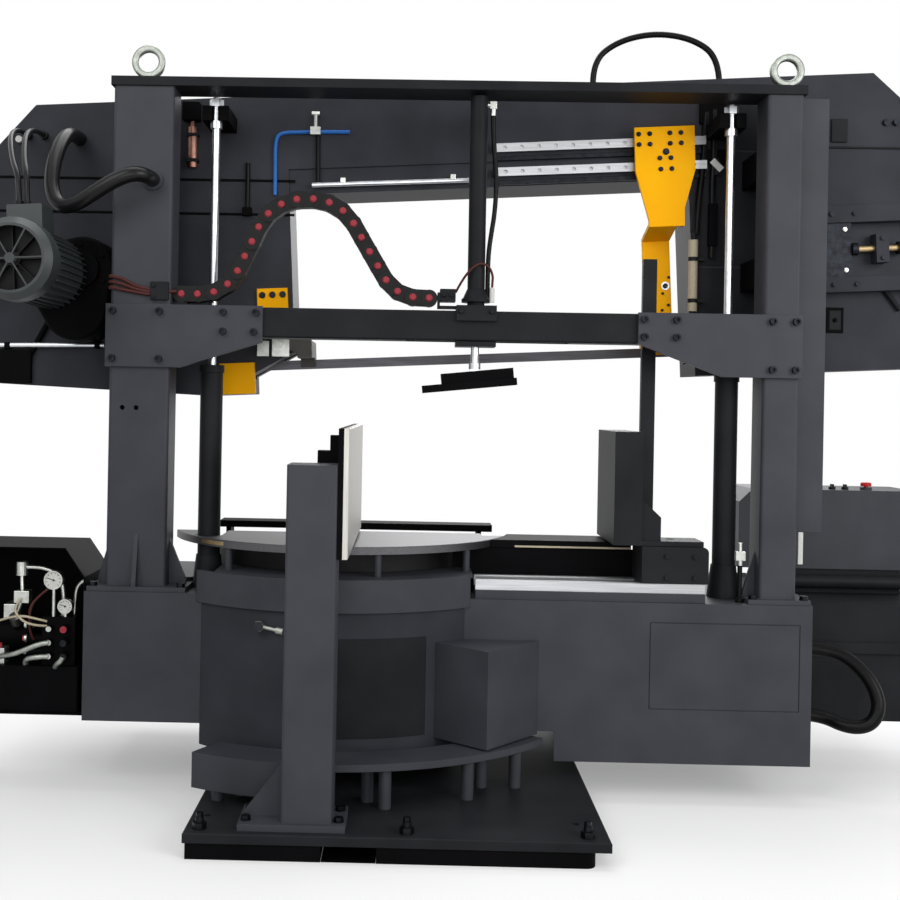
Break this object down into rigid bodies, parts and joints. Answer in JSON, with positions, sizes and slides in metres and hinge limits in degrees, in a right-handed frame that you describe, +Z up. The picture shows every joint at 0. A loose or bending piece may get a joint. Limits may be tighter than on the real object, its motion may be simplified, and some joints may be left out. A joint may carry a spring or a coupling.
{
  "type": "double column band saw",
  "caption": "Swivelling double column band saw for metal bars: a tilted saw bow slides on a portal over a round table, with a long vise, an overhead clamp and hydraulics.",
  "frame": {"origin": "on the floor, on the vertical swivel axis of the saw", "axes": "+X along the saw band towards the console end, +Y away from the jaw post to the wheel doors, +Z up"},
  "size_m": [3.5277, 1.532, 2.6359],
  "materials": {
    "grey_paint": "satin textured paint",
    "black_paint": "satin paint",
    "yellow_paint": "satin paint",
    "motor_paint": "satin paint",
    "ground_steel": "ground",
    "zinc": "zinc plated",
    "chrome": "hard chrome",
    "iron": "machined rim",
    "gauge": "stainless case",
    "black_plastic": "matte",
    "red_plastic": "gloss",
    "rubber": "matte hose"
  },
  "bodies": {
    "base": {"base_frame": "black_paint", "base_plate": "grey_paint", "base_bolts": "zinc", "base_hub": "grey_paint", "swivel_track": "grey_paint", "vise_post": "grey_paint", "fixed_jaw": "black_paint", "jaw_liner": "ground_steel"},
    "saw_bed": {"slewing_ring": "ground_steel", "bed_box": "grey_paint", "swivel_drum": "grey_paint", "drive_cover": "grey_paint", "table_ring": "grey_paint", "table_front": "ground_steel", "table_rests": "grey_paint", "left_column": "grey_paint", "right_column": "grey_paint", "column_rails": "ground_steel", "top_plate": "grey_paint", "eye_bolts": "zinc", "gusset_plates": "grey_paint", "frame_screws": "zinc", "crossbeam": "grey_paint", "lift_barrels": "grey_paint", "vise_rails": "ground_steel", "hydraulic_cabinet": "black_paint", "hydraulic_unit": "black_paint", "gauges": "gauge", "coolant_tank": "grey_paint", "console": "grey_paint", "loop_hose": "rubber", "energy_chain": "black_plastic"},
    "roller": {"support_roller": "ground_steel"},
    "lever": {"lock_lever": "zinc"},
    "clamp_carriage": {"clamp_saddle": "grey_paint"},
    "clamp_piston": {"clamp_rod": "chrome"},
    "clamp_foot": {"clamp_pad": "ground_steel"},
    "vise": {"vise_carriage": "grey_paint", "guide_mast": "grey_paint"},
    "jaw": {"moving_jaw": "grey_paint"},
    "bow": {"bow_frame": "grey_paint", "bow_shoes": "grey_paint", "lift_rods": "chrome", "gearbox": "black_paint", "motor": "motor_paint", "guide_rails": "ground_steel", "guide_left": "yellow_paint", "saw_band": "ground_steel", "arch_hose": "rubber", "loom_hose": "rubber"},
    "driver": {"drive_wheel": "iron"},
    "fan": {"motor_fan": "black_plastic"},
    "tensioner": {"tension_carrier": "black_paint"},
    "idler": {"idler_wheel": "iron"},
    "arm": {"guide_arm": "yellow_paint"},
    "left_door": {"door_left": "grey_paint"},
    "right_door": {"door_right": "grey_paint"},
    "stop": {"stop_button": "red_plastic"},
    "left_knob": {"knob_left": "black_plastic"},
    "right_knob": {"knob_right": "black_plastic"}
  },
  "joints": [
    {"name": "swivel", "type": "hinge", "parent": "base", "child": "saw_bed", "pos_m": [0, 0, 0.2], "axis": [0, 0, -1], "range_deg": [0, 45]},
    {"name": "roller_turn", "type": "hinge", "parent": "saw_bed", "child": "roller", "pos_m": [0.47588, -0.5732, 0.25735], "axis": [0.6388, -0.7694, 0], "continuous": true},
    {"name": "lever_turn", "type": "hinge", "parent": "saw_bed", "child": "lever", "pos_m": [-0.22078, -0.63046, 0.58], "axis": [0.3305, 0.9438, 0], "range_deg": [0, 40]},
    {"name": "bow_lift", "type": "slide", "parent": "saw_bed", "child": "bow", "axis": [0, 0, 1], "range_m": [-0.635, 0], "deforming": ["loom_hose"]},
    {"name": "drive_turn", "type": "hinge", "parent": "bow", "child": "driver", "pos_m": [-0.88749, 0, 1.72598], "axis": [0, 1, 0], "continuous": true},
    {"name": "fan_turn", "type": "hinge", "parent": "bow", "child": "fan", "pos_m": [-0.97553, -0.75, 1.70534], "axis": [0, 1, 0], "continuous": true},
    {"name": "tension", "type": "slide", "parent": "bow", "child": "tensioner", "axis": [0.9986, 0, 0.0523], "range_m": [-0.03, 0]},
    {"name": "idler_turn", "type": "hinge", "parent": "tensioner", "child": "idler", "pos_m": [1.669, 0, 1.85996], "axis": [0, 1, 0], "continuous": true},
    {"name": "vise_slide", "type": "slide", "parent": "saw_bed", "child": "vise", "axis": [1, 0, 0], "range_m": [-0.48, 0]},
    {"name": "arm_slide", "type": "slide", "parent": "bow", "child": "arm", "axis": [0.9986, 0, 0.0523], "range_m": [-0.482, 0]},
    {"name": "jaw_align", "type": "hinge", "parent": "vise", "child": "jaw", "pos_m": [1.11, -0.395, 0.845], "axis": [0, 0, 1], "range_deg": [-2, 2]},
    {"name": "clamp_slide", "type": "slide", "parent": "saw_bed", "child": "clamp_carriage", "axis": [1, 0, 0], "range_m": [-0.17, 0.25], "deforming": ["energy_chain"]},
    {"name": "clamp_press", "type": "slide", "parent": "clamp_carriage", "child": "clamp_piston", "axis": [0, 0, 1], "range_m": [-0.46, 0]},
    {"name": "pad_tilt", "type": "hinge", "parent": "clamp_piston", "child": "clamp_foot", "pos_m": [0.452, -0.398, 1.388], "axis": [0, 1, 0], "range_deg": [0, 10]},
    {"name": "door_left_turn", "type": "hinge", "parent": "bow", "child": "left_door", "pos_m": [-1.32091, 0.095, 1.64619], "axis": [-0.0523, 0, 0.9986], "range_deg": [0, 100]},
    {"name": "door_right_turn", "type": "hinge", "parent": "bow", "child": "right_door", "pos_m": [2.12836, 0.095, 1.82695], "axis": [0.0523, 0, -0.9986], "range_deg": [0, 100]},
    {"name": "stop_press", "type": "slide", "parent": "saw_bed", "child": "stop", "axis": [0, 0, 1], "range_m": [-0.004, 0], "stiffness_N_per_m": 1500, "springref_m": 0.002},
    {"name": "knob_left_turn", "type": "hinge", "parent": "saw_bed", "child": "left_knob", "pos_m": [1.865, 0.24, 1], "axis": [0, 0, 1], "range_deg": [-45, 45]},
    {"name": "knob_right_turn", "type": "hinge", "parent": "saw_bed", "child": "right_knob", "pos_m": [1.914, 0.24, 1], "axis": [0, 0, 1], "range_deg": [-45, 45]}
  ],
  "couplings": [
    {"joint": "roller_turn", "follows": "swivel", "ratio": 18.625},
    {"joint": "fan_turn", "follows": "drive_turn", "ratio": 28},
    {"joint": "idler_turn", "follows": "drive_turn", "ratio": 1},
    {"joint": "arm_slide", "follows": "vise_slide", "ratio": 1.0014}
  ]
}
